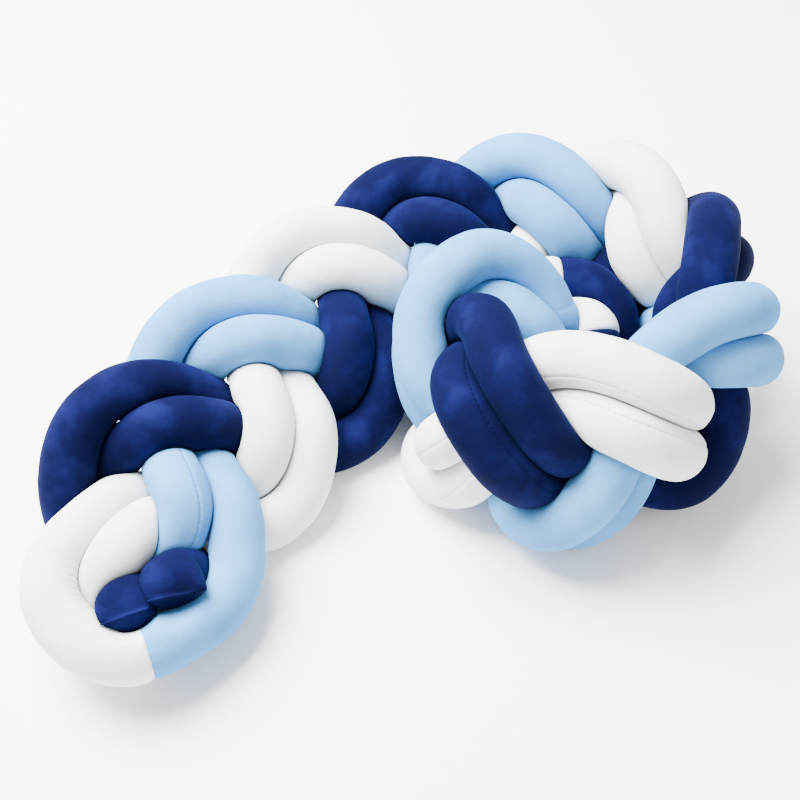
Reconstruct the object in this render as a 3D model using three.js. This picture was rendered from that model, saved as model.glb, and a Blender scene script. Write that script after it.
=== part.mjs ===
// Braided crib bumper: two long stuffed plush tubes, each sewn end to end from a navy,
// a white and a light blue length. The tubes lie side by side as a pair, the pair is
// folded in three and plaited, and the plait lies on the floor in the shape of a hook
// whose far end curls round and stands on its edge. Millimetres, +Z up.
import * as THREE from "three";

const TUBE_D = 60;        // diameter of a stuffed tube
const SEAM_GAP = 0.3;     // between two lengths at a colour seam
const CONTACT_GAP = 0.45; // from a tube's skin to the plane where two tubes press together
const SIDES = 12;         // facets round a tube
const SECTION_STEP = 24;  // between two sections along a tube
const LAY_STEP = 20;      // between two points of a centreline while it settles
const BRAID_THICK = 0.62; // how far a strand rises over and dips under, in tube diameters
const BRAID_LEAD = 0.35;  // how much sooner it rises than it swings at the near end, in radians
const LEAD_LOBES = 9;     // over which that fades
const END_LENGTH = 40;    // over which a tube narrows to its closing seam
const END_HALF = 1.6;     // half thickness of the closing seam
const END_WIDE = 32;      // half width of the closing seam, at its two corners
const FLOOR_REST = 25;    // height of a centreline whose tube lies flattened on the floor

// The middle line of the plait, one row a lobe. roll turns the plait from lying flat (0)
// to standing on its right edge (90). wide is half the pair's swing, in tube diameters.
const SPINE = [
  { s: -2.0, x: -280, y: -350, z: 60, roll: 0, wide: 1.0, lean: 30 },
  { s: -1.0, x: -270, y: -284, z: 60, roll: 8, wide: 0.6, lean: 30 },
  { s: 0.0, x: -258, y: -194, z: 72, roll: 28, wide: 1.18, lean: 36 },
  { s: 1.0, x: -174, y: -66, z: 85, roll: 32, wide: 1.35, lean: 14 },
  { s: 2.0, x: -74, y: 52, z: 92, roll: 34, wide: 1.35, lean: 0 },
  { s: 3.0, x: 38, y: 138, z: 100, roll: 38, wide: 1.35, lean: 0 },
  { s: 4.0, x: 160, y: 165, z: 110, roll: 46, wide: 1.3, lean: 0 },
  { s: 5.0, x: 283, y: 140, z: 120, roll: 68, wide: 1.25, lean: 0 },
  { s: 6.0, x: 352, y: 30, z: 125, roll: 86, wide: 1.2, lean: 0 },
  { s: 7.0, x: 333, y: -88, z: 122, roll: 89, wide: 1.2, lean: 0 },
  { s: 8.0, x: 200, y: -172, z: 120, roll: 97, wide: 1.25, lean: 0 },
  { s: 9.0, x: 88, y: -115, z: 120, roll: 88, wide: 1.15, lean: 0 },
  { s: 9.7, x: 77, y: -47, z: 120, roll: 64, wide: 1.1, lean: 0 },
  { s: 10.4, x: 128, y: 3, z: 112, roll: 45, wide: 1.1, lean: 0 },
  { s: 11.2, x: 209, y: 19, z: 102, roll: 40, wide: 1.05, lean: 0 },
  { s: 12.0, x: 293, y: 16, z: 100, roll: 40, wide: 1.0, lean: 0 },
];

// The two navy ends at the near end of the plait, from their closing seam inwards.
// tilt turns the pair about its own run, apart is the distance between its two middle
// lines in tube diameters, hold says how firmly it keeps its place.
const NAVY_END = [
  { x: -249, y: -350, z: 93, tilt: -20, apart: 0.8, hold: 0.3 },
  { x: -256, y: -334, z: 91, tilt: -20, apart: 0.85, hold: 0.3 },
  { x: -261, y: -314, z: 78, tilt: -12, apart: 0.9, hold: 0.3 },
  { x: -269, y: -294, z: 56, tilt: 0, apart: 1, hold: 0.3 },
  { x: -282, y: -262, z: 40, tilt: 0, apart: 1, hold: 0.2 },
  { x: -303, y: -218, z: 38, tilt: 0, apart: 1, hold: 0.1 },
];

// The ring at the near end, where white turns round into light blue.
const NEAR_FOLD = [
  { x: -296, y: -276, z: 84, tilt: -15, apart: 1, hold: 0.25 },
  { x: -321, y: -292, z: 72, tilt: -40, apart: 1, hold: 0.3 },
  { x: -330, y: -319, z: 57, tilt: -50, apart: 1, hold: 0.3 },
  { x: -318, y: -350, z: 46, tilt: -55, apart: 1, hold: 0.3 },
  { x: -290, y: -369, z: 41, tilt: -55, apart: 1, hold: 0.3 },
  { x: -258, y: -362, z: 41, tilt: -55, apart: 1, hold: 0.3 },
  { x: -239, y: -330, z: 46, tilt: -40, apart: 1, hold: 0.3 },
  { x: -234, y: -288, z: 52, tilt: -20, apart: 1, hold: 0.25 },
];

// The fold at the far end, where navy turns round into white, and the light blue ends
// tucked in beside it. across and over are in tube diameters from the middle line.
const FAR_FOLD = [
  { s: 10.45, across: -0.98, over: -0.3, tilt: 10 },
  { s: 11.05, across: -0.95, over: 0.15, tilt: 50 },
  { s: 11.5, across: -0.3, over: 0.45, tilt: 75 },
  { s: 11.5, across: 0.45, over: 0.35, tilt: 75 },
  { s: 11.15, across: 0.85, over: 0.0, tilt: 50 },
  { s: 10.7, across: 0.6, over: -0.5, tilt: 10 },
  { s: 10.3, across: 0.0, over: -0.35, tilt: 0 },
];
const BLUE_END = [
  { s: 10.75, across: 0.1, over: 0.15, tilt: 0 },
  { s: 11.0, across: -0.35, over: -0.3, tilt: 0 },
];

// Where each strand runs in the regular plait, and after which row of a fold the colour
// changes, for the tube on the left of the pair and for the one on the right.
const STRANDS = {
  navy: { lobe: 0, from: -0.25, to: 10.0 },
  light_blue: { lobe: 1, from: -0.5, to: 10.5 },
  white: { lobe: 2, from: -0.25, to: 10.0, back: true },
};
const SEAMS = { far: { a: 2.8, b: 4.45 }, near: { a: 5.8, b: 5.0 } };

// How the tubes settle against one another and on the floor.
const SETTLE = {
  rounds: 200, hold: 0.02, bend: 0.25, kink: 5.5, sink: 0.3, press: 0.5, touch: 0.92, skip: 96,
  ease: 40,
};

const COLOURS = {
  navy: { color: 0x1c2f7c, roughness: 0.85 },
  white: { color: 0xeef0ee, roughness: 0.9 },
  light_blue: { color: 0xa3c8e8, roughness: 0.9 },
};

const add = (a, b, k = 1) => [a[0] + k * b[0], a[1] + k * b[1], a[2] + k * b[2]];
const sub = (a, b) => [a[0] - b[0], a[1] - b[1], a[2] - b[2]];
const mul = (a, k) => [a[0] * k, a[1] * k, a[2] * k];
const dot = (a, b) => a[0] * b[0] + a[1] * b[1] + a[2] * b[2];
const cross = (a, b) => [
  a[1] * b[2] - a[2] * b[1], a[2] * b[0] - a[0] * b[2], a[0] * b[1] - a[1] * b[0],
];
const size = (a) => Math.hypot(...a);
const unit = (a) => mul(a, 1 / size(a));
const UP = [0, 0, 1];

// A natural cubic spline through the rows y at the stations t; slope gives its direction.
function spline(t, y) {
  const n = t.length, dims = y[0].length;
  const bend = y.map(() => new Array(dims).fill(0));
  for (let d = 0; d < dims; d++) {
    const c = new Array(n).fill(0), r = new Array(n).fill(0);
    for (let i = 1; i < n - 1; i++) {
      const h0 = t[i] - t[i - 1], h1 = t[i + 1] - t[i];
      const rise = (y[i + 1][d] - y[i][d]) / h1 - (y[i][d] - y[i - 1][d]) / h0;
      const p = 2 * (h0 + h1) - h0 * c[i - 1];
      c[i] = h1 / p;
      r[i] = (6 * rise - h0 * r[i - 1]) / p;
    }
    for (let i = n - 2; i > 0; i--) bend[i][d] = r[i] - c[i] * bend[i + 1][d];
  }
  const span = (u) => {
    let lo = 0, hi = n - 1;
    while (hi - lo > 1) {
      const mid = (lo + hi) >> 1;
      if (t[mid] <= u) lo = mid; else hi = mid;
    }
    return lo;
  };
  const at = (u) => {
    const i = span(u), h = t[i + 1] - t[i], a = (t[i + 1] - u) / h, b = 1 - a;
    return y[i].map((_, d) => a * y[i][d] + b * y[i + 1][d]
      + ((a ** 3 - a) * bend[i][d] + (b ** 3 - b) * bend[i + 1][d]) * h * h / 6);
  };
  const slope = (u) => {
    const i = span(u), h = t[i + 1] - t[i], a = (t[i + 1] - u) / h, b = 1 - a;
    return y[i].map((_, d) => (y[i + 1][d] - y[i][d]) / h
      + ((1 - 3 * a * a) * bend[i][d] + (3 * b * b - 1) * bend[i + 1][d]) * h / 6);
  };
  return { at, slope };
}

function runningLength(points) {
  const d = [0];
  for (let i = 1; i < points.length; i++) d.push(d[i - 1] + size(sub(points[i], points[i - 1])));
  return d;
}

// A point of the plait: across the band towards its left edge, over its upper face.
const middle = spline(SPINE.map((r) => r.s), SPINE.map((r) => [r.x, r.y, r.z, r.roll, r.wide, r.lean]));
function onBand({ s, across, over, tilt }) {
  const row = middle.at(s);
  const along = unit(middle.slope(s).slice(0, 3));
  const left = unit(cross(UP, along));
  const rise = cross(along, left);
  const roll = THREE.MathUtils.degToRad(row[3]);
  const wide = add(mul(left, Math.cos(roll)), rise, Math.sin(roll));
  const face = add(mul(left, -Math.sin(roll)), rise, Math.cos(roll));
  const p = add(add(row.slice(0, 3), wide, across * TUBE_D), face, over * TUBE_D);
  return { p, face, tilt: THREE.MathUtils.degToRad(tilt), apart: 1, hold: SETTLE.hold };
}
function inPlace({ x, y, z, tilt, apart, hold }) {
  return { p: [x, y, z], face: UP, tilt: THREE.MathUtils.degToRad(tilt), apart, hold };
}

// A strand of the plait swings from edge to edge once every three lobes.
function plaited({ lobe, from, to, back }) {
  const rows = [];
  for (let i = 0; i <= Math.round((to - from) * 4); i++) {
    const s = from + i / 4, phase = 2 * Math.PI * (s - lobe) / 3;
    const [, , , , wide, lean] = middle.at(s);
    const lead = BRAID_LEAD * Math.min(1, Math.max(0, 1 - s / LEAD_LOBES));
    rows.push(onBand({
      s, across: wide * Math.cos(phase), over: BRAID_THICK * Math.sin(2 * phase + lead),
      tilt: (back ? -2 : 2) * lean * Math.max(0, Math.cos(phase)) * Math.max(0, Math.sin(phase)),
    }));
  }
  return back ? rows.reverse() : rows;
}

// The whole run of the pair: navy, far fold, white, near fold, light blue.
const navyRun = [...NAVY_END.map(inPlace), ...plaited(STRANDS.navy)];
const whiteRun = plaited(STRANDS.white);
const blueRun = [...plaited(STRANDS.light_blue), ...BLUE_END.map(onBand)];
const pairRun = [
  ...navyRun, ...FAR_FOLD.map(onBand), ...whiteRun, ...NEAR_FOLD.map(inPlace), ...blueRun,
];
const farStart = navyRun.length;
const nearStart = farStart + FAR_FOLD.length + whiteRun.length;

// The two tubes of the pair lie half a diameter to either side of its run.
function layTubes() {
  const d = runningLength(pairRun.map((r) => r.p));
  const run = spline(d, pairRun.map((r) => r.p));
  const face = spline(d, pairRun.map((r) => r.face));
  const total = d[d.length - 1];
  const linear = (key, u) => {
    let i = 0;
    while (i < d.length - 2 && d[i + 1] <= u) i++;
    const k = (u - d[i]) / (d[i + 1] - d[i]);
    return pairRun[i][key] * (1 - k) + pairRun[i + 1][key] * k;
  };
  const lines = { a: [], b: [] }, stations = [];
  for (let u = 0; u < total; u += 4) {
    const p = run.at(u), along = unit(run.slope(u));
    const flat = unit(cross(face.at(u), along)), lift = cross(along, flat);
    const tilt = linear("tilt", u), half = linear("apart", u) * TUBE_D / 2;
    const side = add(mul(flat, Math.cos(tilt)), lift, Math.sin(tilt));
    lines.a.push(add(p, side, half));
    lines.b.push(add(p, side, -half));
    stations.push(u);
  }
  return ["a", "b"].map((name) => {
    const own = runningLength(lines[name]), length = own[own.length - 1];
    const shape = spline(own, lines[name]);
    const count = Math.round(length / LAY_STEP);
    const points = [], hold = [];
    for (let i = 0; i <= count; i++) {
      points.push(shape.at(length * i / count));
      hold.push(linear("hold", total * i / count));
    }
    // the seams' places, counted in steps along this tube
    const station = (row) => {
      const i = Math.floor(row), u = d[i] + (row - i) * (d[i + 1] - d[i]);
      return own[Math.min(Math.floor(u / 4), own.length - 1)] / length * count;
    };
    const seams = [station(farStart + SEAMS.far[name]), station(nearStart + SEAMS.near[name])];
    return { name, points, hold, seams, length };
  });
}

// The tubes settle: they sink on to the floor, press against each other and keep
// their length and most of their place.
function settle(tubes) {
  const x = tubes.flatMap((t) => t.points.map((p) => [...p]));
  const start = x.map((p) => [...p]);
  const hold = tubes.flatMap((t) => t.hold);
  const tube = tubes.flatMap((t, k) => t.points.map(() => k));
  const place = tubes.flatMap((t) => t.points.map((_, i) => i));
  const n = x.length, near = SETTLE.touch * TUBE_D;
  const skip = Math.ceil(SETTLE.skip / LAY_STEP);
  // a tube is thinner towards its closing seams
  const girth = tubes.flatMap((t) => t.points.map((_, i, all) => {
    const toEnd = Math.min(i, all.length - 1 - i) * LAY_STEP / END_LENGTH;
    return Math.min(1, 0.6 + 0.3 * toEnd);
  }));
  const rest = x.map((p, i) => (i + 1 < n && tube[i + 1] === tube[i] ? size(sub(x[i + 1], p)) : 0));
  let pairs = [];
  for (let round = 0; round < SETTLE.rounds; round++) {
    if (round % 10 === 0) {
      pairs = [];
      for (let i = 0; i < n; i++) for (let j = i + 1; j < n; j++) {
        if (tube[i] === tube[j] && Math.abs(place[i] - place[j]) <= skip) continue;
        if (size(sub(x[i], x[j])) < near * 1.35) pairs.push([i, j]);
      }
    }
    for (let i = 0; i < n; i++) {
      x[i][2] -= SETTLE.sink;
      x[i] = add(x[i], sub(start[i], x[i]), hold[i]);
    }
    const soft = x.map((p, i) => (i > 0 && i < n - 1 && tube[i - 1] === tube[i + 1]
      ? mul(add(x[i - 1], x[i + 1]), 0.5) : p));
    for (let i = 0; i < n; i++) {
      x[i] = add(x[i], sub(soft[i], x[i]), size(sub(soft[i], x[i])) > SETTLE.kink ? 0.5 : SETTLE.bend);
    }
    for (let twice = 0; twice < 2; twice++) {
      const push = x.map(() => [0, 0, 0]), hits = new Array(n).fill(0);
      for (const [i, j] of pairs) {
        const d = sub(x[j], x[i]), length = size(d) + 1e-9;
        const touch = near * (girth[i] + girth[j]) / 2;
        if (length >= touch) continue;
        const k = SETTLE.press * 0.5 * (touch - length) / length;
        push[i] = add(push[i], d, -k);
        push[j] = add(push[j], d, k);
        hits[i]++;
        hits[j]++;
      }
      for (let i = 0; i < n; i++) x[i] = add(x[i], push[i], 1 / Math.max(1, hits[i] * 0.35));
      const pull = x.map(() => [0, 0, 0]);
      for (let i = 0; i < n; i++) {
        if (!rest[i]) continue;
        const d = sub(x[i + 1], x[i]), length = size(d);
        const k = 0.2 * (length - rest[i]) / length;
        pull[i] = add(pull[i], d, k);
        pull[i + 1] = add(pull[i + 1], d, -k);
      }
      for (let i = 0; i < n; i++) {
        x[i] = add(x[i], pull[i]);
        x[i][2] = Math.max(x[i][2], FLOOR_REST);
      }
    }
  }
  let first = 0;
  for (const t of tubes) {
    t.points = x.slice(first, first + t.points.length);
    first += t.points.length;
    // ease every bend a little and the sharp ones until none is tighter than a tube can make
    for (let again = 0; again < SETTLE.ease; again++) {
      t.points = t.points.map((p, i, all) => {
        if (i === 0 || i + 1 === all.length) return p;
        const kink = sub(mul(add(all[i - 1], all[i + 1]), 0.5), p);
        return again < 2 || size(kink) > SETTLE.kink ? add(p, kink, 0.5) : p;
      });
    }
  }
  return tubes;
}

// Sections along a tube, with axes that turn as little as possible.
function sectionsOf(tube) {
  const steps = tube.points.map((_, i) => i);
  const line = spline(steps, tube.points);
  const last = steps.length - 1;
  const unitStep = tube.length / last;
  const bounds = [0, tube.seams[0], tube.seams[1], last];
  const names = ["navy", "white", "light_blue"];
  let side = null;
  return names.map((colour, k) => {
    const from = bounds[k], to = bounds[k + 1];
    const count = Math.round((to - from) * unitStep / SECTION_STEP);
    const sections = [];
    for (let i = 0; i <= count; i++) {
      const u = from + (to - from) * i / count, t = unit(line.slope(u));
      // the two faces of a colour seam are parallel
      const back = i === 0 && k > 0 ? SEAM_GAP / 2 : i === count && k < 2 ? -SEAM_GAP / 2 : 0;
      const c = add(line.at(u), t, back);
      if (!side) side = unit(cross(UP, t));
      side = unit(add(side, t, -dot(side, t)));
      const ahead = line.slope(Math.min(u + 0.3, last)), behind = line.slope(Math.max(u - 0.3, 0));
      const turn = mul(sub(unit(ahead), unit(behind)), 1 / (0.6 * unitStep));
      const toEnd = Math.min(u, last - u) * unitStep;
      const toSeam = Math.min(...tube.seams.map((m) => Math.abs(u - m))) * unitStep;
      sections.push({ c, t, side, lift: cross(t, side), turn, toEnd, toSeam, u });
    }
    return { colour, sections };
  });
}

// Free half-size of a tube in a direction: round, drawn in a little at a colour seam and
// narrowing to a straight closing seam at an end.
function freeRadius(section, angle) {
  const R = TUBE_D / 2;
  const k = Math.max(0, 1 - section.toEnd / END_LENGTH);
  const high = Math.max(END_HALF, R * Math.sqrt(1 - k ** 2.6));
  const wide = R + (END_WIDE - R) * k ** 1.5;
  const waist = 1 - 0.035 * Math.exp(-((section.toSeam / 9) ** 2));
  return waist / Math.hypot(Math.cos(angle) / wide, Math.sin(angle) / high);
}

// Rings of points round the sections. Where tubes press together each skin stops just
// short of the plane half-way between the two middle lines, and on the floor at z = 0.
function buildRings(tubes) {
  const cloud = [];
  for (const tube of tubes) {
    tube.line = spline(tube.points.map((_, i) => i), tube.points);
    for (let i = 0; i <= (tube.points.length - 1) * 4; i++) {
      cloud.push({ tube: tube.name, u: i / 4, p: tube.line.at(i / 4) });
    }
  }
  const reach = TUBE_D * 1.4;
  for (const tube of tubes) {
    const unitStep = tube.length / (tube.points.length - 1);
    const othersNear = (c, u) => cloud.filter((q) => (q.tube !== tube.name
      || Math.abs(q.u - u) * unitStep > SETTLE.skip) && size(sub(q.p, c)) < reach)
      .map((q) => sub(q.p, c));
    for (const { sections } of tube.lengths) {
      for (const [i, section] of sections.entries()) {
        const others = othersNear(section.c, section.u);
        const [ahead, behind] = [sections[i + 1], sections[i - 1]];
        section.ring = [];
        for (let k = 0; k < SIDES; k++) {
          const angle = 2 * Math.PI * (k + 0.5) / SIDES;
          const out = add(mul(section.side, Math.cos(angle)), section.lift, Math.sin(angle));
          let r = freeRadius(section, angle);
          const inward = dot(section.turn, out);
          if (inward > 0) r = Math.min(r, 0.85 / inward);
          // in a sharp bend each ring stays on its own side of the next
          for (const [next, way] of [[ahead, 1], [behind, -1]]) {
            const lean = next ? way * dot(out, next.t) : 0;
            if (lean > 0) r = Math.min(r, (way * dot(sub(next.c, section.c), next.t) - 1) / lean);
          }
          for (const w of others) {
            const towards = dot(w, out);
            if (towards <= 0) continue;
            const far = size(w);
            r = Math.min(r, (far / 2 - CONTACT_GAP) * far / towards);
          }
          if (out[2] < 0) r = Math.min(r, section.c[2] / -out[2]);
          section.ring.push(add(section.c, out, r));
        }
      }
      // the facets between two sections keep to their own side as well
      for (let i = 0; i + 1 < sections.length; i++) {
        const one = sections[i], two = sections[i + 1];
        for (const part of [0.5, 0.25, 0.75]) {
          const u = one.u + (two.u - one.u) * part, c = tube.line.at(u);
          const others = othersNear(c, u);
          if (!others.length) continue;
          for (let k = 0; k < SIDES; k++) for (const shift of [0, 1, SIDES - 1]) {
            const m = (k + shift) % SIDES;
            const p = add(mul(one.ring[k], 1 - part), two.ring[m], part);
            const own = sub(p, c), reached = dot(own, own);
            let over = 0;
            for (const w of others) {
              const away = sub(own, w), far = size(w);
              over = Math.max(over, CONTACT_GAP - (dot(away, away) - reached) / (2 * far));
            }
            if (over <= 0) continue;
            const draw = (section, index) => {
              const in_ = sub(section.c, section.ring[index]), r = size(in_);
              section.ring[index] = add(section.ring[index], in_, Math.min(0.5, over / r));
            };
            draw(one, k);
            draw(two, m);
          }
        }
      }
    }
  }
}

function tubeMesh(name, colour, sections) {
  const points = [], faces = [];
  sections.forEach(({ ring }) => points.push(...ring));
  for (let i = 0; i + 1 < sections.length; i++) for (let k = 0; k < SIDES; k++) {
    const a = i * SIDES + k, b = i * SIDES + (k + 1) % SIDES, c = a + SIDES, d = b + SIDES;
    const slant = size(sub(points[a], points[d])) < size(sub(points[b], points[c]));
    faces.push(...(slant ? [a, b, d, a, d, c] : [a, b, c, b, d, c]));
  }
  const cap = (section, first, flip) => {
    const mid = points.length;
    points.push(section.c);
    for (let k = 0; k < SIDES; k++) {
      const a = first + k, b = first + (k + 1) % SIDES;
      faces.push(...(flip ? [mid, b, a] : [mid, a, b]));
    }
  };
  cap(sections[0], 0, true);
  cap(sections[sections.length - 1], (sections.length - 1) * SIDES, false);
  const geometry = new THREE.BufferGeometry();
  geometry.setAttribute("position", new THREE.Float32BufferAttribute(points.flat(), 3));
  geometry.setIndex(faces);
  geometry.computeVertexNormals();
  const material = new THREE.MeshStandardMaterial({ ...COLOURS[colour], metalness: 0 });
  const mesh = new THREE.Mesh(geometry, material);
  mesh.name = name;
  return mesh;
}

const tubes = settle(layTubes());
for (const tube of tubes) tube.lengths = sectionsOf(tube);
buildRings(tubes);

const group = new THREE.Group();
group.name = "braided_crib_bumper";
for (const tube of tubes) for (const { colour, sections } of tube.lengths) {
  group.add(tubeMesh(`${colour}_tube_${tube.name}`, colour, sections));
}

// The origin is the middle of the whole on the floor.
const box = new THREE.Box3().setFromObject(group);
const shift = [-(box.min.x + box.max.x) / 2, -(box.min.y + box.max.y) / 2, 0];
for (const mesh of group.children) mesh.geometry.translate(...shift);

export default group;
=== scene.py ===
"""Braided crib bumper: the plush covers of the two plaited tubes, their sewing, and the studio.

Lengths in the tables are millimetres in the frame the plait is laid out in. Everything
is shifted by SHIFT and turned into metres when the covers are made.
"""
import math

import bmesh
import bpy
import numpy as np
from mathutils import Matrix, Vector


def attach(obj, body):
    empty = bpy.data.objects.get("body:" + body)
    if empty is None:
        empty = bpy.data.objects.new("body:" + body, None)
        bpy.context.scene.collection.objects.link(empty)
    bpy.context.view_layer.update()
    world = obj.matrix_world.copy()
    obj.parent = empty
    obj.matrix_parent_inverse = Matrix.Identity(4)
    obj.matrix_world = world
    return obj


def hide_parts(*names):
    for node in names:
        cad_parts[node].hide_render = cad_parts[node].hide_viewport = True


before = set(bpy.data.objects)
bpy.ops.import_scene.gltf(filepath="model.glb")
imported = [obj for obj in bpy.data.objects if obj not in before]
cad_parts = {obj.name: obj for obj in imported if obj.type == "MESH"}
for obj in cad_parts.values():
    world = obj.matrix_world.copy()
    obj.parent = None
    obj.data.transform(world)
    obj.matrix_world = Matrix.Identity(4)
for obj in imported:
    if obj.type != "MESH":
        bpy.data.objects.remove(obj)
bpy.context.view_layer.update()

TUBE_D = 60.0        # diameter of a stuffed tube
LAY_STEP = 20.0      # between two points of a middle line while it settles
BRAID_THICK = 0.62   # how far a strand rises over and dips under, in tube diameters
BRAID_LEAD = 0.35    # how much sooner it rises than it swings at the near end, in radians
LEAD_LOBES = 9       # over which that fades
END_LENGTH = 40.0    # over which a tube narrows to its closing seam
END_HALF = 1.3       # half thickness of the closing seam
END_WIDE = 37.0      # half width of the closing seam
END_LIP = 4.0        # depth of its lip
FLOOR_REST = 25.0    # height of a middle line whose tube lies flattened on the floor
SHIFT = (-25.56, 66.36, 0.0)  # from the laying-out frame to the part's own

RING_STEP = 3.0      # between two rings of a cover
END_STEP = 1.5       # between two rings near its ends
SIDES = 64           # points round a cover
SEAM_CROWD = 0.6     # how much closer those points lie at the lengthwise seam
GIRTH = math.pi * TUBE_D
STITCH = 4.2         # from one stitch to the next

FULLER = 0.7         # how much fuller a cover is than its solid
BROAD_LUMP = (0.55, 75)       # height and size of the filling's broad lumps, and of its small ones
SMALL_LUMP = (0.3, 31)
GATHER_HIGH = 3.6    # height of the gathers where a bend is tight
GATHER_FROM = 0.22   # how tight a bend is, against the tube's radius, when they begin
GATHER_MOST = 0.45   # and how much tighter it is when they are full
SEAM_SUNK = (0.75, 1.3)       # depth and width of the groove at the lengthwise seam
SEAM_SWELL = (0.25, 4.5, 3)   # height, distance and width of the swelling beside it
SEAM_RIPPLE = (0.22, 6)       # height and width of the ripple that the stitches draw
TIE_BROAD = (0.035, 9)        # share and width by which a colour seam draws the tube in
TIE_SHARP = (0.05, 2.2)
TIE_PLEAT = (0.5, 10, 19)     # height, width and number of the small pleats beside it
TOUCH_GAP = 0.12     # from a cover to the plane where two tubes press together
FAR_OFF = 1e3        # a distance that never limits a cover

LOOK_DOWN = 50       # degrees by which the camera looks down
LOOK_FROM = 1.4      # metres from the camera to the point it looks at

# The middle line of the plait, one row a lobe: s, x, y, z, roll in degrees, swing in diameters,
# and how far a pair leans on its side, in degrees, where it crosses over from the left.
SPINE = (
    (-2.0, -280, -350, 60, 0, 1.0, 30),
    (-1.0, -270, -284, 60, 8, 0.6, 30),
    (0.0, -258, -194, 72, 28, 1.18, 36),
    (1.0, -174, -66, 85, 32, 1.35, 14),
    (2.0, -74, 52, 92, 34, 1.35, 0),
    (3.0, 38, 138, 100, 38, 1.35, 0),
    (4.0, 160, 165, 110, 46, 1.3, 0),
    (5.0, 283, 140, 120, 68, 1.25, 0),
    (6.0, 352, 30, 125, 86, 1.2, 0),
    (7.0, 333, -88, 122, 89, 1.2, 0),
    (8.0, 200, -172, 120, 97, 1.25, 0),
    (9.0, 88, -115, 120, 88, 1.15, 0),
    (9.7, 77, -47, 120, 64, 1.1, 0),
    (10.4, 128, 3, 112, 45, 1.1, 0),
    (11.2, 209, 19, 102, 40, 1.05, 0),
    (12.0, 293, 16, 100, 40, 1.0, 0),
)
# The navy ends, from their closing seam inwards: x, y, z, tilt, distance apart, hold.
NAVY_END = (
    (-249, -350, 93, -20, 0.8, 0.3),
    (-256, -334, 91, -20, 0.85, 0.3),
    (-261, -314, 78, -12, 0.9, 0.3),
    (-269, -294, 56, 0, 1, 0.3),
    (-282, -262, 40, 0, 1, 0.2),
    (-303, -218, 38, 0, 1, 0.1),
)
# The near ring, where white turns round into light blue: the same columns.
NEAR_FOLD = (
    (-296, -276, 84, -15, 1, 0.25),
    (-321, -292, 72, -40, 1, 0.3),
    (-330, -319, 57, -50, 1, 0.3),
    (-318, -350, 46, -55, 1, 0.3),
    (-290, -369, 41, -55, 1, 0.3),
    (-258, -362, 41, -55, 1, 0.3),
    (-239, -330, 46, -40, 1, 0.3),
    (-234, -288, 52, -20, 1, 0.25),
)
# The far fold, where navy turns round into white, and the tucked-in light blue ends:
# s, across and over in diameters from the plait's middle line, tilt in degrees.
FAR_FOLD = (
    (10.45, -0.98, -0.3, 10),
    (11.05, -0.95, 0.15, 50),
    (11.5, -0.3, 0.45, 75),
    (11.5, 0.45, 0.35, 75),
    (11.15, 0.85, 0.0, 50),
    (10.7, 0.6, -0.5, 10),
    (10.3, 0.0, -0.35, 0),
)
BLUE_END = (
    (10.75, 0.1, 0.15, 0),
    (11.0, -0.35, -0.3, 0),
)
STRANDS = {  # the lobe a strand starts on, its stretch of the plait, and whether it runs back
    "navy": (0, -0.25, 10.0, False),
    "light_blue": (1, -0.5, 10.5, False),
    "white": (2, -0.25, 10.0, True),
}
SEAMS = {"a": (2.8, 5.8), "b": (4.45, 5.0)}  # rows of the folds after which the colour changes

# Which way the lengthwise seam of each tube faces: point of the middle line, angle in degrees.
SEWN = {
    "a": ((0, 250), (20, 255), (50, 290), (75, 310), (90, 240), (112, 220), (130, 30), (150, 40),
          (162, -42), (168, -75), (190, 50), (205, -30), (250, -20), (262, -155), (272, -155),
          (285, -20), (320, 10), (347, -70), (365, 10), (390, 60)),
    "b": ((0, 250), (12, 225), (48, 170), (64, 190), (78, 150), (92, 160), (100, 220), (106, 222),
          (116, 150), (135, 150), (150, 180), (158, 205), (168, 190), (180, 290), (205, 240),
          (235, 300), (262, 290), (278, 280), (285, 250), (294, 235), (304, 320), (320, 325),
          (338, 195), (343, 200), (350, 200), (386, 215)),
}

# How the tubes settle, with the same measures as in the solids.
ROUNDS = 200         # rounds of sinking and pressing
HOLD = 0.02          # how firmly the plait keeps its place
BEND = 0.25          # share of a bend that is eased in a round
KINK = 5.5           # how far a point may lie off its neighbours before it counts as a kink
SINK = 0.3           # how far the tubes sink in a round
PRESS = 0.5          # share of an overlap that is pushed apart
TOUCH = 0.92         # distance of two pressed tubes, in diameters
SKIP = 96.0          # length within which a tube doesn't press on itself
PULL = 0.2           # share of a stretch that is pulled back
EASE = 40            # last rounds, for the kinks alone
RUN_STEP = 4.0       # between two points of the pair's run
UP = np.array((0.0, 0.0, 1.0))


def unit(v):
    return v / np.linalg.norm(v, axis=-1, keepdims=True)


def running_length(points):
    return np.concatenate(([0.0], np.cumsum(np.linalg.norm(np.diff(points, axis=0), axis=1))))


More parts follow.
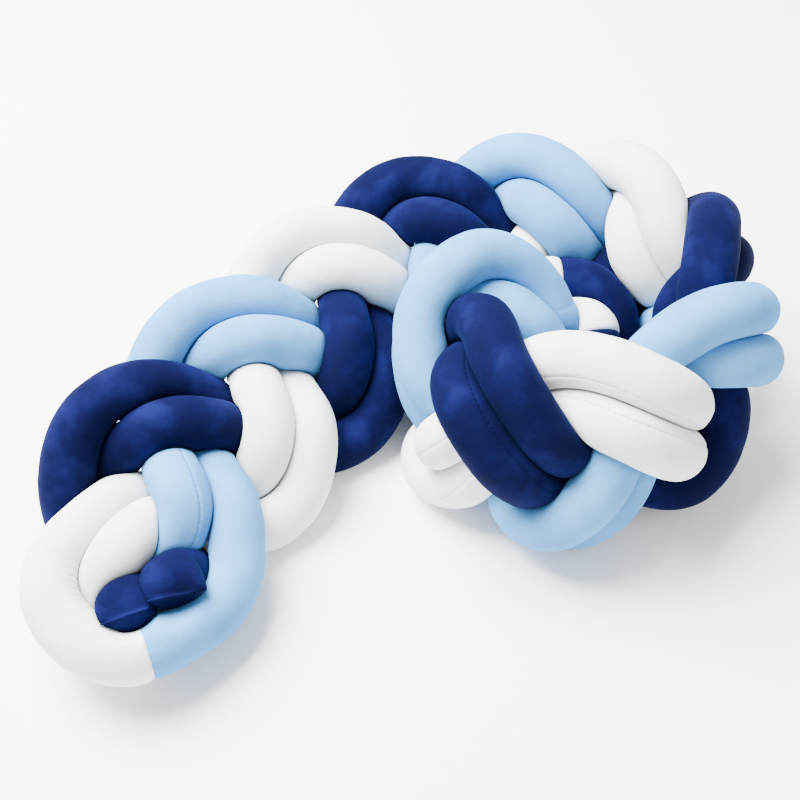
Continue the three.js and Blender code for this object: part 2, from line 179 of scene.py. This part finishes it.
class Spline:
    """A natural cubic spline through rows y at stations t."""

    def __init__(self, t, y):
        self.t, self.y = np.asarray(t, float), np.asarray(y, float)
        n = len(self.t)
        c, r = np.zeros(n), np.zeros(self.y.shape)
        for i in range(1, n - 1):
            h0, h1 = self.t[i] - self.t[i - 1], self.t[i + 1] - self.t[i]
            rise = (self.y[i + 1] - self.y[i]) / h1 - (self.y[i] - self.y[i - 1]) / h0
            p = 2 * (h0 + h1) - h0 * c[i - 1]
            c[i] = h1 / p
            r[i] = (6 * rise - h0 * r[i - 1]) / p
        self.bend = np.zeros(self.y.shape)
        for i in range(n - 2, 0, -1):
            self.bend[i] = r[i] - c[i] * self.bend[i + 1]

    def _span(self, u):
        i = np.clip(np.searchsorted(self.t, u, side="right") - 1, 0, len(self.t) - 2)
        h = self.t[i + 1] - self.t[i]
        a = ((self.t[i + 1] - u) / h)[..., None]
        return i, h[..., None], a, 1 - a

    def at(self, u):
        u = np.asarray(u, float)
        i, h, a, b = self._span(u)
        return (a * self.y[i] + b * self.y[i + 1]
                + ((a ** 3 - a) * self.bend[i] + (b ** 3 - b) * self.bend[i + 1]) * h * h / 6)

    def slope(self, u):
        u = np.asarray(u, float)
        i, h, a, b = self._span(u)
        return ((self.y[i + 1] - self.y[i]) / h
                + ((1 - 3 * a * a) * self.bend[i] + (3 * b * b - 1) * self.bend[i + 1]) * h / 6)


spine = np.array(SPINE, float)
middle = Spline(spine[:, 0], spine[:, 1:])


def on_band(s, across, over, tilt):
    """A point of the plait: across the band towards its left edge, over its upper face."""
    row = middle.at(s)
    along = unit(middle.slope(s)[:3])
    left = unit(np.cross(UP, along))
    rise = np.cross(along, left)
    roll = math.radians(row[3])
    wide = left * math.cos(roll) + rise * math.sin(roll)
    face = rise * math.cos(roll) - left * math.sin(roll)
    return row[:3] + (across * wide + over * face) * TUBE_D, face, math.radians(tilt), 1.0, HOLD


def in_place(x, y, z, tilt, apart, hold):
    """A point beside the plait, given by its place on the floor and its height."""
    return np.array((x, y, z), float), UP, math.radians(tilt), apart, hold


def plaited(lobe, start, stop, back):
    """A strand swings from edge to edge of the plait once every three lobes."""
    rows = []
    for i in range(int((stop - start) * 4 + 0.5) + 1):
        s = start + i / 4
        phase = 2 * math.pi * (s - lobe) / 3
        wide, lean = middle.at(s)[4:]
        lead = BRAID_LEAD * min(1, max(0, 1 - s / LEAD_LOBES))
        tilt = 2 * lean * max(0, math.cos(phase)) * max(0, math.sin(phase))
        rows.append(on_band(s, wide * math.cos(phase),
                            BRAID_THICK * math.sin(2 * phase + lead), -tilt if back else tilt))
    return rows[::-1] if back else rows


def lay_tubes():
    """The two tubes of the pair, side by side along one run: navy, white, light blue."""
    navy = [in_place(*r) for r in NAVY_END] + plaited(*STRANDS["navy"])
    white = plaited(*STRANDS["white"])
    blue = plaited(*STRANDS["light_blue"]) + [on_band(*r) for r in BLUE_END]
    rows = (navy + [on_band(*r) for r in FAR_FOLD] + white
            + [in_place(*r) for r in NEAR_FOLD] + blue)
    far_start = len(navy)
    near_start = far_start + len(FAR_FOLD) + len(white)
    points = np.array([r[0] for r in rows])
    d = running_length(points)
    run, face = Spline(d, points), Spline(d, np.array([r[1] for r in rows]))
    tilts, aparts, holds = (np.array([r[k] for r in rows]) for k in (2, 3, 4))
    u = np.arange(0, d[-1], RUN_STEP)
    p, along = run.at(u), unit(run.slope(u))
    flat = unit(np.cross(face.at(u), along))
    lift = np.cross(along, flat)
    tilt = np.interp(u, d, tilts)[:, None]
    half = np.interp(u, d, aparts)[:, None] * TUBE_D / 2
    side = flat * np.cos(tilt) + lift * np.sin(tilt)
    tubes = []
    for name, sign in (("a", 1), ("b", -1)):
        line = p + sign * half * side
        own = running_length(line)
        shape = Spline(own, line)
        count = int(own[-1] / LAY_STEP + 0.5)
        share = np.arange(count + 1) / count

        def station(row):
            """Where a row of the run comes on this tube, counted in its own points."""
            i = int(row)
            at = d[i] + (row - i) * (d[i + 1] - d[i])
            return own[min(int(at / RUN_STEP), len(own) - 1)] / own[-1] * count

        far, near = SEAMS[name]
        tubes.append({
            "name": name, "points": shape.at(own[-1] * share), "length": own[-1],
            "hold": np.interp(d[-1] * share, d, holds),
            "seams": (station(far_start + far), station(near_start + near)),
        })
    return tubes


def settle(tubes):
    """The tubes sink on to the floor, press on each other and keep length and place."""
    x = np.concatenate([t["points"] for t in tubes])
    start = x.copy()
    hold = np.concatenate([t["hold"] for t in tubes])[:, None]
    tube = np.concatenate([np.full(len(t["points"]), k) for k, t in enumerate(tubes)])
    place = np.concatenate([np.arange(len(t["points"])) for t in tubes])
    last = np.concatenate([np.full(len(t["points"]), len(t["points"]) - 1) for t in tubes])
    girth = np.minimum(1, 0.6 + 0.3 * np.minimum(place, last - place) * LAY_STEP / END_LENGTH)
    near, skip = TOUCH * TUBE_D, math.ceil(SKIP / LAY_STEP)
    link = np.nonzero(tube[1:] == tube[:-1])[0]
    rest = np.linalg.norm(x[link + 1] - x[link], axis=1)
    inner = np.nonzero((place > 0) & (place < last))[0]
    for turn in range(ROUNDS):
        if turn % 10 == 0:
            gap = np.linalg.norm(x[:, None] - x[None], axis=2)
            same = (tube[:, None] == tube[None]) & (np.abs(place[:, None] - place[None]) <= skip)
            i, j = np.nonzero(np.triu(~same & (gap < near * 1.35), 1))
        x[:, 2] -= SINK
        x += (start - x) * hold
        kink = (x[inner - 1] + x[inner + 1]) / 2 - x[inner]
        sharp = np.linalg.norm(kink, axis=1, keepdims=True) > KINK
        x[inner] += kink * np.where(sharp, 0.5, BEND)
        for _ in range(2):
            d = x[j] - x[i]
            length = np.linalg.norm(d, axis=1) + 1e-9
            touch = near * (girth[i] + girth[j]) / 2
            hit = length < touch
            k = (PRESS * 0.5 * (touch - length) / length)[hit, None]
            push, hits = np.zeros_like(x), np.zeros(len(x))
            np.add.at(push, i[hit], -k * d[hit])
            np.add.at(push, j[hit], k * d[hit])
            np.add.at(hits, i[hit], 1)
            np.add.at(hits, j[hit], 1)
            x += push / np.maximum(1, hits * 0.35)[:, None]
            d = x[link + 1] - x[link]
            length = np.linalg.norm(d, axis=1)
            k = (PULL * (length - rest) / length)[:, None]
            pull = np.zeros_like(x)
            np.add.at(pull, link, k * d)
            np.add.at(pull, link + 1, -k * d)
            x += pull
            x[:, 2] = np.maximum(x[:, 2], FLOOR_REST)
    for k, t in enumerate(tubes):
        p = x[tube == k]
        for again in range(EASE):
            kink = (p[:-2] + p[2:]) / 2 - p[1:-1]
            sharp = np.linalg.norm(kink, axis=1, keepdims=True) > KINK
            p[1:-1] += kink * np.where(sharp | (again < 2), 0.5, 0)
        t["points"] = p
    return tubes


def lumps(p, size, seed):
    """A smooth unevenness in space, about -1 to 1, with humps of about the given size."""
    total = np.zeros(p.shape[:-1])
    for k in range(7):
        a, b = 2.4 * (k + 1) + seed, 1.7 * (k + 1) ** 1.3 + 0.6 * seed
        way = np.array((math.cos(a) * math.sin(b), math.sin(a) * math.sin(b), math.cos(b)))
        total += np.sin(p @ way * (2 * math.pi / (size * (0.8 + 0.13 * k))) + 3.1 * k + seed)
    return total / 3.5


def rings_of(tube, first, last):
    """Stations of one cover: centres, turning and two axes across each ring."""
    line, pace, end = tube["line"], tube["pace"], len(tube["points"]) - 1
    u = np.linspace(first, last, int((last - first) * pace / RING_STEP) + 1)
    fine = np.arange(0, 1.5 * END_LENGTH, END_STEP) / pace
    if first == 0:
        u = np.concatenate((fine, u[u > fine[-1]]))
    if last == end:
        u = np.concatenate((u[u < end - fine[-1]], last - fine[::-1]))
    along = unit(line.slope(u))
    reach = 0.3
    ahead, behind = np.minimum(u + reach, end), np.maximum(u - reach, 0)
    turn = (unit(line.slope(ahead)) - unit(line.slope(behind))) / (2 * reach * pace)
    # the axes are carried from ring to ring, so that the cloth isn't twisted
    side = np.empty_like(along)
    for i, way in enumerate(along):
        carried = tube["side"]
        side[i] = unit(carried - way * (carried @ way))
        tube["side"] = side[i]
    sewn = np.radians(np.interp(u, *zip(*SEWN[tube["name"]])))
    return {
        "u": u, "c": line.at(u), "turn": turn, "side": side, "lift": np.cross(along, side),
        "sewn": sewn, "to_end": np.minimum(u, end - u) * pace,
        "to_seam": np.min([np.abs(u - m) for m in tube["seams"]], axis=0) * pace,
    }


def soft_least(a, b, power=12):
    """The smaller of two sizes, rounded where they are alike."""
    return (a ** -power + b ** -power) ** (-1 / power)


def bump(distance, width):
    return np.exp(-(distance / width) ** 2)


def end_outline(angle, to_end):
    """Radii of a ring: round, and towards its closing seam a lip with two puckered corners."""
    close = min(1.0, max(0.0, 1 - (to_end - END_LIP) / (END_LENGTH - END_LIP)))
    high = max(END_HALF, TUBE_D / 2 * (1 - close ** 2.2) ** 0.6)
    wide = TUBE_D / 2 + (END_WIDE - TUBE_D / 2) * close ** 0.6
    free = 1 / np.hypot(np.cos(angle) / wide, np.sin(angle) / high)
    folds = np.sin(4.0 * free * np.cos(angle) / 9 + 1.3) * np.abs(np.sin(angle))
    return free - close ** 3 * min(1, high / 8) * (0.8 + 1.1 * folds)


def filling(own, inward, along):
    """Filling that lies unevenly, and cloth gathered on the inside of a bend."""
    (broad, broad_size), (small, small_size) = BROAD_LUMP, SMALL_LUMP
    uneven = FULLER + broad * lumps(own, broad_size, 1.0) + small * lumps(own, small_size, 2.0)
    gathered = np.clip(inward * TUBE_D / 2 - GATHER_FROM, 0, GATHER_MOST)
    return uneven + GATHER_HIGH * gathered * np.sin(along / 1.65 + 1.8 * lumps(own, 45, 3.0))


def lengthwise_seam(off, along):
    """The groove of the seam along the cloth, the swelling beside it and the stitches' ripple."""
    (sunk, groove), (swell, beside, broad), (ripple, drawn) = SEAM_SUNK, SEAM_SWELL, SEAM_RIPPLE
    relief = swell * bump(off - beside, broad) - sunk * bump(off, groove)
    return relief + ripple * bump(off, drawn) * math.sin(along / 1.35)


def colour_seam(free, angle, far):
    """The tube drawn in and pleated where two colours are sewn end to end."""
    (share, broad), (tight, sharp), (pleat, reach, count) = TIE_BROAD, TIE_SHARP, TIE_PLEAT
    drawn = free * (1 - share * bump(far, broad) - tight * bump(far, sharp))
    return drawn + pleat * bump(far, reach) * np.sin(count * angle)


def pressed_by(others, c, out):
    """How far each side reaches before the planes half-way to the tubes it presses on."""
    w = others - c
    distance = np.linalg.norm(w, axis=1)
    towards = out @ w.T
    plane = (distance / 2 - TOUCH_GAP) * distance / np.maximum(towards, 1e-6)
    return np.where(towards > 0, plane, FAR_OFF).min(axis=1)


def cover_places(tube, rings, cloud):
    """Points of a cover's skin, rings by sides, with its distance along and round the cloth."""
    share = np.arange(SIDES + 1) / SIDES
    round_ = 2 * math.pi * share - SEAM_CROWD * np.sin(2 * math.pi * share)
    off = np.minimum(round_, 2 * math.pi - round_) * TUBE_D / 2
    skin = np.empty((len(rings["u"]), SIDES + 1, 3))
    for i, (c, u) in enumerate(zip(rings["c"], rings["u"])):
        along = u * tube["pace"]
        angle = round_ + rings["sewn"][i]
        out = np.outer(np.cos(angle), rings["side"][i]) + np.outer(np.sin(angle), rings["lift"][i])
        inward = out @ rings["turn"][i]
        free = end_outline(angle, rings["to_end"][i])
        free += filling(c + out * free[:, None], inward, along)
        free += lengthwise_seam(off, along)
        free = colour_seam(free, angle, rings["to_seam"][i])
        near = (np.linalg.norm(cloud["p"] - c, axis=1) < TUBE_D * 1.4) & (
            (cloud["tube"] != tube["name"]) | (np.abs(cloud["u"] - u) * tube["pace"] > SKIP))
        pressed = pressed_by(cloud["p"][near], c, out) if near.any() else np.full(len(out), FAR_OFF)
        bent = np.where(inward > 0, 0.9 / np.maximum(inward, 1e-6), FAR_OFF)
        low = np.where(out[:, 2] < 0, c[2] / np.maximum(-out[:, 2], 1e-6), FAR_OFF)
        r = soft_least(soft_least(free, pressed, 20), bent)
        r = np.minimum(soft_least(r, low), low)
        skin[i] = c + out * r[:, None]
    return skin, rings["u"] * tube["pace"], round_ * TUBE_D / 2


def sewn_cover(name, skin, along, around):
    """A flat grid of cloth rolled into a tube, sewn along its length and closed at its ends."""
    rings, columns = skin.shape[:2]
    bm = bmesh.new()
    bm.loops.layers.uv.new("cloth")
    bmesh.ops.create_grid(bm, x_segments=rings - 1, y_segments=columns - 1, size=1, calc_uvs=True)
    mesh = bpy.data.meshes.new(name)
    bm.to_mesh(mesh)
    bm.free()
    flat = np.empty(len(mesh.vertices) * 3, np.float32)
    mesh.vertices.foreach_get("co", flat)
    flat = flat.reshape(-1, 3)
    i = np.rint((flat[:, 0] + 1) / 2 * (rings - 1)).astype(int)
    j = np.rint((flat[:, 1] + 1) / 2 * (columns - 1)).astype(int)
    rolled = (skin[i, j] + np.array(SHIFT)) / 1000
    mesh.vertices.foreach_set("co", rolled.astype(np.float32).ravel())
    corner = np.empty(len(mesh.loops), np.int32)
    mesh.loops.foreach_get("vertex_index", corner)
    laid = np.stack([along[i[corner]], around[j[corner]]], axis=1) / 1000
    mesh.uv_layers[0].data.foreach_set("uv", laid.astype(np.float32).ravel())
    bm = bmesh.new()
    bm.from_mesh(mesh)
    bmesh.ops.remove_doubles(bm, verts=bm.verts, dist=2e-5)
    rim = [e for e in bm.edges if e.is_boundary]
    bmesh.ops.holes_fill(bm, edges=rim, sides=0)
    bmesh.ops.recalc_face_normals(bm, faces=bm.faces)
    for face in bm.faces:
        face.smooth = True
    bm.to_mesh(mesh)
    bm.free()
    piece = bpy.data.objects.new(name, mesh)
    bpy.context.scene.collection.objects.link(piece)
    return piece


def node(tree, kind, place, **values):
    """A shader node with its own settings, or else its sockets' values, given by name."""
    made = tree.nodes.new(kind)
    made.location = place
    for key, value in values.items():
        if hasattr(made, key):
            setattr(made, key, value)
        else:
            made.inputs[key.replace("_", " ")].default_value = value
    return made


def plush(name, painted_shade, plain, painted_sheen, spread, fuzz, tint):
    """Short plush: the cloth's colour in soft random patches of painted shade and painted sheen for
    a nap that lies unevenly, a fine pile, and stitch marks darkened with painted shade.
    """
    material = bpy.data.materials.new(name)
    material.use_nodes = True
    tree = material.node_tree
    tree.nodes.clear()
    link = tree.links.new
    out = node(tree, "ShaderNodeOutputMaterial", (1100, 0))
    skin = node(tree, "ShaderNodeBsdfPrincipled", (800, 0))
    skin.inputs["Roughness"].default_value = 0.9
    skin.inputs["Specular IOR Level"].default_value = 0.04
    skin.inputs["Sheen Weight"].default_value = fuzz
    skin.inputs["Sheen Roughness"].default_value = 0.4
    skin.inputs["Sheen Tint"].default_value = (*tint, 1)
    link(skin.outputs["BSDF"], out.inputs["Surface"])
    # the nap: soft patches of a warped noise, running from a painted-shade tone through the cloth's
    # own colour to a painted-sheen tone
    where = node(tree, "ShaderNodeTexCoord", (-1300, 0))
    warp = node(tree, "ShaderNodeTexNoise", (-1100, 200), Scale=9.0, Detail=2.0)
    bent = node(tree, "ShaderNodeMixRGB", (-900, 200), blend_type="ADD")
    bent.inputs[0].default_value = 0.05
    patches = node(tree, "ShaderNodeTexNoise", (-700, 200), Scale=17.0, Detail=3.5, Roughness=0.55)
    ramp = node(tree, "ShaderNodeValToRGB", (-500, 200))
    stops = ramp.color_ramp.elements
    # the ends of the ramp are painted shade and painted sheen, its middle the cloth's own colour
    stops[0].position, stops[1].position = 0.5 - spread, 0.5 + spread
    stops[0].color, stops[1].color = (*painted_shade, 1), (*painted_sheen, 1)
    stops.new(0.5).color = (*plain, 1)
    link(where.outputs["Object"], warp.inputs["Vector"])
    link(where.outputs["Object"], bent.inputs[1])
    link(warp.outputs["Color"], bent.inputs[2])
    link(bent.outputs["Color"], patches.inputs["Vector"])
    link(patches.outputs["Fac"], ramp.inputs["Fac"])
    # stitches along the lengthwise seam: laid flat, the cloth runs along x and round in y
    laid = node(tree, "ShaderNodeUVMap", (-1300, -700), uv_map="cloth")
    split = node(tree, "ShaderNodeSeparateXYZ", (-1100, -700))
    beside = node(tree, "ShaderNodeMath", (-900, -800), operation="PINGPONG")
    beside.inputs[1].default_value = GIRTH / 2000
    close = node(tree, "ShaderNodeMapRange", (-700, -800), interpolation_type="SMOOTHSTEP")
    for socket, value in (("From Min", 0.0005), ("From Max", 0.0015), ("To Min", 1), ("To Max", 0)):
        close.inputs[socket].default_value = value
    pace = node(tree, "ShaderNodeMath", (-900, -600), operation="MULTIPLY")
    pace.inputs[1].default_value = 2000 * math.pi / STITCH
    wave = node(tree, "ShaderNodeMath", (-700, -600), operation="SINE")
    dot = node(tree, "ShaderNodeMapRange", (-500, -600), interpolation_type="SMOOTHSTEP")
    for socket, value in (("From Min", -0.2), ("From Max", 0.8), ("To Min", 0.25), ("To Max", 1)):
        dot.inputs[socket].default_value = value
    stitch = node(tree, "ShaderNodeMath", (-300, -700), operation="MULTIPLY")
    link(laid.outputs["UV"], split.inputs["Vector"])
    link(split.outputs["Y"], beside.inputs[0])
    link(beside.outputs["Value"], close.inputs["Value"])
    link(split.outputs["X"], pace.inputs[0])
    link(pace.outputs["Value"], wave.inputs[0])
    link(wave.outputs["Value"], dot.inputs["Value"])
    link(close.outputs["Result"], stitch.inputs[0])
    link(dot.outputs["Result"], stitch.inputs[1])
    sunk = node(tree, "ShaderNodeMath", (-100, -600), operation="MULTIPLY")
    sunk.inputs[1].default_value = 0.55
    # stitch dots mixed towards the painted-shade tone: real stitch marks, with painted shade in
    # their pulled dimples
    sewn = node(tree, "ShaderNodeMixRGB", (300, 200), blend_type="MIX")
    sewn.inputs[2].default_value = (*painted_shade, 1)
    link(stitch.outputs["Value"], sunk.inputs[0])
    link(sunk.outputs["Value"], sewn.inputs[0])
    link(ramp.outputs["Color"], sewn.inputs[1])
    link(sewn.outputs["Color"], skin.inputs["Base Color"])
    # the pile, soft dents of the filling, and the stitches' pull
    pile = node(tree, "ShaderNodeTexNoise", (-700, -200), Scale=1300.0, Detail=2.0)
    dents = node(tree, "ShaderNodeTexNoise", (-700, -400), Scale=120.0, Detail=3.0)
    link(where.outputs["Object"], pile.inputs["Vector"])
    link(where.outputs["Object"], dents.inputs["Vector"])
    pulled = node(tree, "ShaderNodeBump", (100, -600), Strength=0.8, Distance=0.0008, invert=True)
    soft = node(tree, "ShaderNodeBump", (300, -400), Strength=0.3, Distance=0.0014)
    fine = node(tree, "ShaderNodeBump", (500, -200), Strength=0.35, Distance=0.0005)
    link(stitch.outputs["Value"], pulled.inputs["Height"])
    link(pulled.outputs["Normal"], soft.inputs["Normal"])
    link(dents.outputs["Fac"], soft.inputs["Height"])
    link(soft.outputs["Normal"], fine.inputs["Normal"])
    link(pile.outputs["Fac"], fine.inputs["Height"])
    link(fine.outputs["Normal"], skin.inputs["Normal"])
    return material


def add_light(name, place, size, power):
    """A square lamp aimed at the middle of the plait."""
    lamp = bpy.data.lights.new(name, "AREA")
    lamp.size, lamp.energy = size, power
    made = bpy.data.objects.new(name, lamp)
    made.location = place
    made.rotation_mode = "QUATERNION"
    made.rotation_quaternion = (Vector((0, 0, 0.1)) - Vector(place)).to_track_quat("-Z", "Y")
    bpy.context.scene.collection.objects.link(made)


def studio():
    """A pale floor, soft light from above, and the camera looking down at 50 degrees."""
    mesh = bpy.data.meshes.new("floor")
    bm = bmesh.new()
    bmesh.ops.create_grid(bm, x_segments=1, y_segments=1, size=6)
    bm.to_mesh(mesh)
    bm.free()
    floor = bpy.data.objects.new("floor", mesh)
    pale = bpy.data.materials.new("pale_floor")
    pale.use_nodes = True
    paint = pale.node_tree.nodes["Principled BSDF"]
    paint.inputs["Base Color"].default_value = (0.97, 0.97, 0.97, 1)
    paint.inputs["Roughness"].default_value = 0.8
    mesh.materials.append(pale)
    bpy.context.scene.collection.objects.link(floor)
    world = bpy.data.worlds.new("studio")
    world.use_nodes = True
    sky = world.node_tree.nodes["Background"]
    sky.inputs["Color"].default_value = (1, 1, 1, 1)
    sky.inputs["Strength"].default_value = 1.1
    bpy.context.scene.world = world
    add_light("key", place=(-1.1, 0.7, 2.2), size=1.9, power=660)
    add_light("fill", place=(1.2, -1.4, 1.6), size=1.8, power=22)
    view = bpy.data.cameras.new("camera")
    view.lens, view.sensor_width = 50, 36
    camera = bpy.data.objects.new("camera", view)
    centre = Vector(SHIFT) / 1000
    tilt = math.radians(LOOK_DOWN)
    back = Vector((0, -math.cos(tilt), math.sin(tilt)))
    camera.location = centre + back * LOOK_FROM
    camera.rotation_mode = "QUATERNION"
    camera.rotation_quaternion = (-back).to_track_quat("-Z", "Y")
    bpy.context.scene.collection.objects.link(camera)
    bpy.context.scene.camera = camera


# Points along both settled tubes, which tell a cover what it presses on.
tubes = settle(lay_tubes())
cloud = {"p": [], "u": [], "tube": []}
for tube in tubes:
    end = len(tube["points"]) - 1
    tube["line"] = Spline(np.arange(end + 1), tube["points"])
    tube["pace"] = tube["length"] / end
    u = np.arange(end * 4 + 1) / 4
    cloud["p"].append(tube["line"].at(u))
    cloud["u"].append(u)
    cloud["tube"].append(np.full(len(u), tube["name"]))
    start = unit(tube["line"].slope(0.0))
    tube["side"] = unit(np.cross(UP, start))
cloud = {key: np.concatenate(value) for key, value in cloud.items()}

# Each cloth with a painted-shade tone, its own plain colour and a painted-sheen tone for the
# patches of its nap, and how far these spread.
CLOTHS = {
    "navy": plush(
        "navy_velvet", painted_shade=(0.0011, 0.0015, 0.016), plain=(0.0016, 0.0022, 0.0225),
        painted_sheen=(0.0042, 0.006, 0.046), spread=0.18, fuzz=0.07, tint=(0.06, 0.12, 0.5)),
    "white": plush(
        "white_plush", painted_shade=(0.63, 0.66, 0.655), plain=(0.69, 0.715, 0.71),
        painted_sheen=(0.73, 0.75, 0.745), spread=0.25, fuzz=0.1, tint=(1, 1, 1)),
    "light_blue": plush(
        "light_blue_plush", painted_shade=(0.06, 0.205, 0.45), plain=(0.078, 0.25, 0.52),
        painted_sheen=(0.1, 0.3, 0.585), spread=0.25, fuzz=0.1, tint=(0.4, 0.7, 1)),
}

for tube in tubes:
    bounds = [0.0, *tube["seams"], len(tube["points"]) - 1.0]
    for colour, first, last in zip(("navy", "white", "light_blue"), bounds, bounds[1:]):
        rings = rings_of(tube, first, last)
        skin, along, around = cover_places(tube, rings, cloud)
        piece = sewn_cover(f"{colour}_cover_{tube['name']}", skin, along, around)
        piece.data.materials.append(CLOTHS[colour])
        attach(piece, "root")
        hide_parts(f"{colour}_tube_{tube['name']}")

studio()
